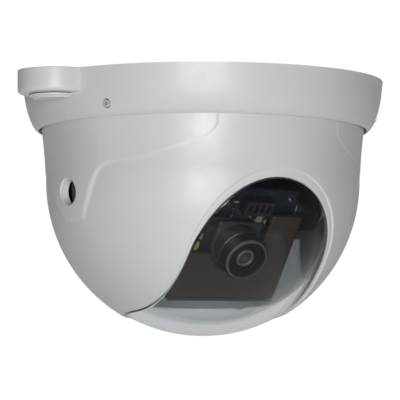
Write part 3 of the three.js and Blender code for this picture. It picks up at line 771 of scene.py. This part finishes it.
def build_mask():
    sheet = bevelled(upright(mask_outline(), MASK_FRONT, MASK_FRONT + 1.8), 0.35, 3)
    mask = make_object("front_cover_plate", moved(sheet, HEAD))
    hole_r, rim_r = 8.4, 8.9
    cut = [(0, -40), (rim_r, -40), (rim_r, MASK_FRONT + 0.25), (hole_r, MASK_FRONT + 0.8)]
    cut += [(hole_r, 0), (0, 0)]
    combine(mask, [moved(lathe(cut, 96), LENS_AXIS)])
    edge = rounded_rect(-19.1, 19.1, -MASK_HALF, -18.4, 0.4)
    lip = bevelled(upright(edge, MASK_FRONT - 0.55, MASK_FRONT + 0.3), 0.2, 2)
    combine(mask, [moved(lip, HEAD)], "UNION")
    foot = [(0, MASK_FRONT + 1.7), (2.6, MASK_FRONT + 1.7), (2.6, BOARD_FRONT - 0.3), (0, BOARD_FRONT - 0.3)]
    feet = [moved(lathe(foot, 40), HEAD @ shift(x, 0, -STUD) @ ALONG_Y) for x in (-STUD, STUD)]
    combine(mask, feet, "UNION")
    piece(mask, MASK, "camera", ["front_mask"])


def build_board(name, half, front, node):
    plate = upright(rounded_rect(-half, half, -half, half, 1.5, 5), front, front + BOARD_T)
    board = make_object(name, moved(bevelled(plate, 0.12, 1), HEAD))
    piece(board, BOARD, "camera", [node])


# Chips on the imaging board's front: two opposite corners in X and Z, then the height
CHIPS = [
    ((-11.0, 3.2), (-4.0, 9.0), 1.1),
    ((-2.6, 8.8), (2.4, 12.0), 1.0),
    ((10.4, -1.0), (14.8, 6.2), 1.2),
    ((-16.4, 9.6), (-12.6, 14.6), 1.3),
    ((-9.6, 11.4), (-6.6, 14.8), 1.1),
]
CAPACITORS = [(-13.6, 5.4), (-13.2, 3.4), (3.4, 9.6), (5.6, 8.0), (7.8, 9.4), (9.2, 7.6), (-15.6, 7.4)]
CAPACITORS += [(-11.6, 1.2), (-6.0, 15.6), (-3.6, 14.4), (12.0, 8.6), (14.6, 9.4), (16.6, 3.6), (16.2, 6.0)]


def component(low, high, height, bevel=0.12):
    """A block standing on the front of the imaging board, between two corners in X and Z."""
    block = box((low[0], BOARD_FRONT - height, low[1]), (high[0], BOARD_FRONT + 0.05, high[1]))
    return bevelled(block, bevel, 2)


def chip_legs(low, high):
    """Rows of short solder legs down both sides of a chip."""
    count = max(3, int((high[1] - low[1]) / 0.8))
    legs = []
    for k in range(count):
        z = low[1] + (k + 0.5) * (high[1] - low[1]) / count
        for x in (low[0] - 0.7, high[0] + 0.7):
            leg = box((x - 0.35, BOARD_FRONT - 0.3, z - 0.17), (x + 0.35, BOARD_FRONT + 0.02, z + 0.17))
            legs.append(bevelled(leg, 0.05, 1))
    return legs


def capacitor(centre, along):
    """A ceramic block, and its two soldered ends, along a direction in X and Z."""
    across = 1 - along
    half = 0.9 * along + 0.5 * across
    block = component(centre - 0.62 * half, centre + 0.62 * half, 0.6, 0.08)
    ends = []
    for side in (-1, 1):
        middle = centre + side * 0.77 * along
        half = 0.23 * along + 0.33 * across
        ends.append(component(middle - half, middle + half, 0.66, 0.08))
    return block, ends


def build_components():
    def part(name, shapes, material, slot):
        piece(make_object(name, moved(merged(shapes), HEAD)), material, "camera", ())

    part("board_chips", [component(*chip) for chip in CHIPS], CHIP, "board_dark")
    random = np.random.default_rng(7)
    blocks, solder = [], []
    for low, high, _ in CHIPS:
        solder += chip_legs(low, high)
    for x, z in CAPACITORS:
        along = np.array([1, 0] if random.random() < 0.5 else [0, 1])
        block, ends = capacitor(np.array([x, z]), along)
        blocks.append(block)
        solder += ends
    part("board_capacitors", blocks, CERAMIC, "board_dark")
    part("board_solder", solder, TIN, "board_dark")
    tab = bevelled(box((-16.3, BOARD_FRONT - 3.6, 2.7), (-14.9, BOARD_FRONT, 5.4)), 0.25, 2)
    part("shield_tab", [tab], TIN, "screw_steel")
    half = 1.1  # of the flat cable's width
    path = [(8.4, -1.0), (6.9, 1.2), (6.2, 4.0), (6.0, 10.9)]
    ribbon = []
    for (x0, z0), (x1, z1) in zip(path, path[1:]):
        outline = [(x0 - half, z0), (x0 + half, z0), (x1 + half, z1), (x1 - half, z1)]
        ribbon.append(bevelled(upright(outline, BOARD_FRONT - 1.7, BOARD_FRONT - 1.4), 0.05, 1))
    part("flat_cable", ribbon, RIBBON, "connector_nylon")


def build_lens_holder():
    base = bevelled(box((-8, MASK_FRONT + 2.1, -8), (8, BOARD_FRONT - 0.3, 8)), 0.5, 3)
    holder = make_object("lens_mount", moved(base, HEAD))
    tower = lathe([(0, -22.85), (7.4, -22.85), (7.4, -29.2), (7.2, -29.4), (0, -29.4)], 96)
    combine(holder, [moved(tower, LENS_AXIS)], "UNION")
    bore = lathe([(0, -50), (6.3, -50), (6.3, -24), (0, -24)], 96)
    combine(holder, [moved(bore, LENS_AXIS)])
    piece(holder, BLACK, "camera", ["lens_holder"])


def build_lens():
    """Barrel, lock ring and front glass. Heights count backwards from the barrel's front rim."""
    f = LENS_FRONT
    outline = [(0, -25.7), (6.0, -25.7), (6.0, -29.6), (7.3, -29.7), (7.5, -29.9)]
    for k in range(4):
        y = -30.2 - 0.75 * k
        outline += [(7.5, y), (7.32, y - 0.12), (7.32, y - 0.3), (7.5, y - 0.42)]
    outline += [(7.5, f + 1.1), (7.3, f + 0.85), (6.95, f + 0.8), (6.85, f + 0.3), (6.65, f + 0.02)]
    outline += [(6.35, f), (5.85, f + 0.25), (5.65, f + 0.6), (5.5, f + 1.7), (4.6, f + 1.9), (4.6, f + 2.5)]
    outline += [(2.6, f + 2.6), (2.6, f + 3.8), (0, f + 3.8)]
    barrel = make_object("lens_tube", moved(lathe(outline, 128), LENS_AXIS), 25)
    piece(barrel, ANODISED, "lens", ["lens_barrel"])

    ring = [(2.15, f + 2.35), (2.15, f + 1.3), (2.3, f + 1.0), (2.55, f + 0.9), (2.8, f + 1.0)]
    ring += [(2.95, f + 1.4), (3.1, f + 1.8), (4.35, f + 1.85), (4.35, f + 2.35)]
    lock_ring = make_object("lens_lock_ring", moved(lathe(rounded(ring, 0.12, 2), 96), LENS_AXIS))
    piece(lock_ring, RIM_HIGHLIGHT_GREY, "lens", ["lens_retainer"])
    to_lens = LENS_AXIS.inverted()

    def front_band(inner, outer):
        """A test for the faces between two radii near the lens's front."""

        def is_there(at):
            at = to_lens @ at
            return inner < math.hypot(at.x, at.y) < outer and at.z < f + 2.4

        return is_there

    # The barrel's front rim band and the lock ring's inner bevel carry the lighter grey as a painted
    # highlight; the lock ring's outer front face goes dark again.
    second_material(barrel, RIM_HIGHLIGHT_GREY, front_band(6.1, 6.9))
    second_material(lock_ring, ANODISED, front_band(2.95, 5.0))

    radius, sag = 2.05, 0.45
    face = [(radius * t, f + 1.25 + sag * t * t) for t in (0, 0.2, 0.4, 0.6, 0.8, 0.95, 1.0)]
    glass = moved(lathe([*face, (2.0, f + 3.4), (0, f + 3.4)], 96), LENS_AXIS)
    piece(make_object("front_element", glass), COATED, "lens", ["lens_glass"])


def build_nut():
    where = HEAD @ shift(-STUD, 0, 0) @ ALONG_Y
    hexagon = bevelled(prism(circle(2.4, steps=6), MASK_FRONT + 0.4, BOARD_FRONT - 0.3), 0.22, 2)
    nut = make_object("stud_nut", moved(hexagon, where @ turn("Z", 30)))
    bore = lathe([(0, -40), (1.3, -40), (1.3, -24.5), (0, -24.5)], 32)
    combine(nut, [moved(bore, where)])
    piece(nut, BRASS, "camera", ["board_nut"])


def build_module_screws():
    corners = [(-STUD, -STUD), (STUD, -STUD), (STUD, STUD), (-STUD, STUD)]
    for i, (x, z) in enumerate(corners, 1):
        end = MASK_FRONT + 1.1 if z < 0 else BOARD_FRONT - 0.6
        where = HEAD @ shift(x, SCREW_SEAT, z) @ ALONG_Y
        build_screw(f"long_screw_{i}", 2.8, 1.7, 0.8, SCREW_SEAT - end, where, "camera", f"module_screw_{i}")
    for side, name in ((-1, "left"), (1, "right")):
        where = TILTED @ shift(side * TRUNNION_OUT, 0, 0) @ turn("Y", side * 90)
        build_screw(f"pivot_screw_{name}", 3.6, 2.6, 1.7, 10.9, where, "camera", f"tilt_screw_{name}")


def finish_cad_nodes():
    """CAD solids that keep their shape get soft edges and their finish."""
    finishes = {
        "yoke": BLACK,
        "turntable": BLACK,
        "tilt_cradle": BLACK,
        "image_sensor": CHIP,
        "wire_connector": NYLON,
        "pan_washer": STEEL,
        "pan_screw": STEEL,
        "yoke_screw_1": STEEL,
        "yoke_screw_2": STEEL,
        "tilt_washer_left": STEEL,
        "tilt_washer_right": STEEL,
    }
    for i in range(1, 5):
        finishes[f"spacer_{i}"] = DARK_BRASS
    for name, material in finishes.items():
        node = NODES[name]
        node.data.materials.clear()
        node.data.materials.append(material)
        bevel = node.modifiers.new("soft edges", "BEVEL")
        bevel.width = 0.15 * MM
        bevel.segments = 2
        bevel.limit_method = "ANGLE"
        bevel.angle_limit = math.radians(35)


# ------------------------------------------------------------------ stage, light and camera
# The studio seen in reflections: bright behind the object, with some light from below and above, and dark in
# front. Each row is a direction, where the change along it starts and ends, and the brightness there.
ROOM = [
    ((0.515, 0.857, 0.0), 0.15, 0.95, 0.05, 0.57),
    ((0.0, 0.0, -1.0), 0.45, 0.95, 0.0, 0.18),
    ((0.0, 0.0, 1.0), 0.3, 0.9, 0.0, 0.2),
]
BACKDROP = 1.02  # what the camera itself sees behind the object
FLOOR_Z = -8400
FLOOR_HALF = 9000
COOL = (0.955, 0.98, 1.0)
WARM = (1.0, 0.995, 0.99)


def build_floor():
    slab = box((-FLOOR_HALF, -FLOOR_HALF, FLOOR_Z - 20), (FLOOR_HALF, FLOOR_HALF, FLOOR_Z))
    floor = make_object("floor", slab)
    floor.data.materials.append(plastic("floor_pale", (0.80, 0.80, 0.80), (0.83, 0.83, 0.83), 0.7, 0.02))


def add_up(tree, a, b):
    node = tree.nodes.new("ShaderNodeMath")
    node.operation = "ADD"
    tree.links.new(a, node.inputs[0])
    tree.links.new(b, node.inputs[1])
    return node.outputs[0]


def build_world():
    world = bpy.data.worlds.new("studio")
    world.use_nodes = True
    bpy.context.scene.world = world
    tree = world.node_tree
    place = tree.nodes.new("ShaderNodeTexCoord")
    total = None
    for direction, start, end, low, high in ROOM:
        toward = tree.nodes.new("ShaderNodeVectorMath")
        toward.operation = "DOT_PRODUCT"
        toward.inputs[1].default_value = direction
        tree.links.new(place.outputs["Generated"], toward.inputs[0])
        part = tree.nodes.new("ShaderNodeMapRange")
        part.interpolation_type = "SMOOTHSTEP"
        part.inputs["From Min"].default_value = start
        part.inputs["From Max"].default_value = end
        part.inputs["To Min"].default_value = low
        part.inputs["To Max"].default_value = high
        tree.links.new(toward.outputs["Value"], part.inputs["Value"])
        light = part.outputs["Result"]
        total = light if total is None else add_up(tree, total, light)
    room = tree.nodes["Background"]
    room.inputs["Color"].default_value = (1, 1, 1, 1)
    tree.links.new(total, room.inputs["Strength"])
    seen = tree.nodes.new("ShaderNodeBackground")
    seen.inputs["Color"].default_value = (1, 1, 1, 1)
    seen.inputs["Strength"].default_value = BACKDROP
    path = tree.nodes.new("ShaderNodeLightPath")
    mix = tree.nodes.new("ShaderNodeMixShader")
    tree.links.new(path.outputs["Is Camera Ray"], mix.inputs["Fac"])
    tree.links.new(room.outputs[0], mix.inputs[1])
    tree.links.new(seen.outputs[0], mix.inputs[2])
    tree.links.new(mix.outputs[0], tree.nodes["World Output"].inputs["Surface"])


def outward(azimuth, elevation):
    """The direction away from the dome. Azimuth 0 stands in front of the window."""
    a, e = math.radians(azimuth), math.radians(elevation)
    return Vector((math.sin(a) * math.cos(e), -math.cos(a) * math.cos(e), math.sin(e)))


def soft_light(name, azimuth, elevation, distance, size, power, color, mirrored=True):
    """A soft box aimed at the dome. One that isn't mirrored leaves no reflection in the bubble."""
    data = bpy.data.lights.new(name, "AREA")
    data.shape = "RECTANGLE"
    data.size, data.size_y = size
    data.energy = power
    data.color = color
    lamp = bpy.data.objects.new(name, data)
    back = outward(azimuth, elevation)
    lamp.location = Vector((0, 0, DOME_Z * MM)) + back * distance
    lamp.visible_glossy = mirrored
    lamp.visible_transmission = mirrored
    lamp.rotation_mode = "QUATERNION"
    lamp.rotation_quaternion = (-back).to_track_quat("-Z", "Y")
    bpy.context.scene.collection.objects.link(lamp)


def build_camera(azimuth, elevation, distance, width, aim_left, aim_down):
    """A long lens that sees a width at the dome's distance, aimed a little off the dome's centre."""
    data = bpy.data.cameras.new("camera")
    data.sensor_width = 36
    data.lens = 36 * distance / width
    data.clip_start = 0.01
    data.clip_end = 100
    camera = bpy.data.objects.new("camera", data)
    back = outward(azimuth, elevation)
    a = math.radians(azimuth)
    right = Vector((math.cos(a), math.sin(a), 0))
    up = back.cross(right)
    aim = Vector((0, 0, DOME_Z * MM)) - right * aim_left - up * aim_down
    camera.location = aim + back * distance
    camera.rotation_mode = "QUATERNION"
    camera.rotation_quaternion = (-back).to_track_quat("-Z", "Y")
    bpy.context.scene.collection.objects.link(camera)
    bpy.context.scene.camera = camera


build_floor()
build_world()
soft_light("key", -30, -8, 3.2, (1.5, 1.5), 69.0, WARM)
soft_light("strip", -32, -18, 3.0, (0.3, 0.5), 2.0, COOL)
soft_light("glint", -32, 8, 3.0, (0.2, 0.2), 1.8, COOL)
soft_light("under", -30, -44, 2.2, (0.9, 0.9), 12.0, COOL, mirrored=False)
build_camera(azimuth=-31.0, elevation=-6.3, distance=6.0, width=0.1276, aim_left=0.0009, aim_down=0.0059)
bpy.context.scene.view_settings.view_transform = "Standard"

build_skirt()
build_plug()
build_cover()
build_bubble()
build_liner()
build_back_plate()
build_fasteners()
build_grommet()
build_mask()
build_board("imaging_board", 19, BOARD_FRONT, "sensor_board")
build_board("supply_board", 18.5, SUPPLY_FRONT, "power_board")
build_components()
build_lens_holder()
build_lens()
build_nut()
build_module_screws()
finish_cad_nodes()
